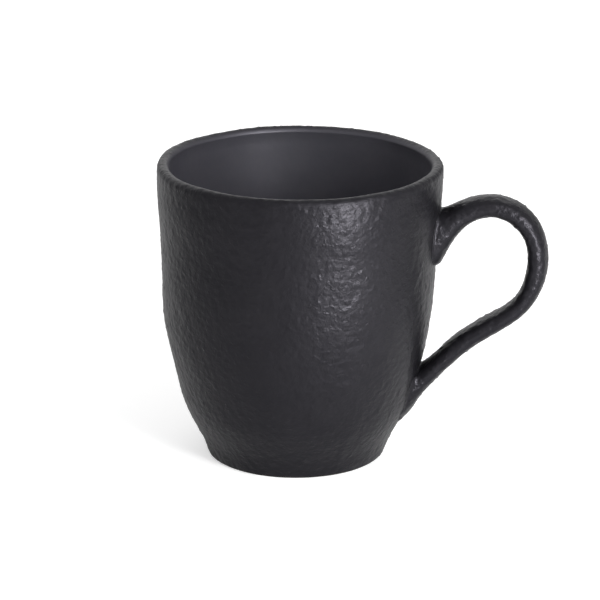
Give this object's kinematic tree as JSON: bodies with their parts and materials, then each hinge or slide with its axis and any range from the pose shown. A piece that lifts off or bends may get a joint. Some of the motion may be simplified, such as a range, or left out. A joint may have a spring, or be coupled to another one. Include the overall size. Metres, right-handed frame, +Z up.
{
  "type": "ceramic mug",
  "caption": "Stoneware mug with a round body that narrows to a small foot, a pebbled matt outside, a smooth lining and one loop handle.",
  "frame": {"origin": "middle of the foot, on the surface that the mug stands on", "axes": "+Z up, +X from the cup to its handle, Y across the cup"},
  "size_m": [0.1213, 0.088, 0.094],
  "materials": {
    "bare_stoneware": "dry fired clay",
    "slip": "fired slip",
    "satin_glaze": "smooth satin",
    "pebbled_glaze": "matt, pebbled"
  },
  "bodies": {
    "root": {"cup_body": "bare_stoneware", "handle": "bare_stoneware", "upper_slip_joint": "slip", "lower_slip_joint": "slip", "liner_glaze": "satin_glaze", "wall_glaze": "pebbled_glaze", "handle_glaze": "pebbled_glaze"}
  },
  "joints": []
}
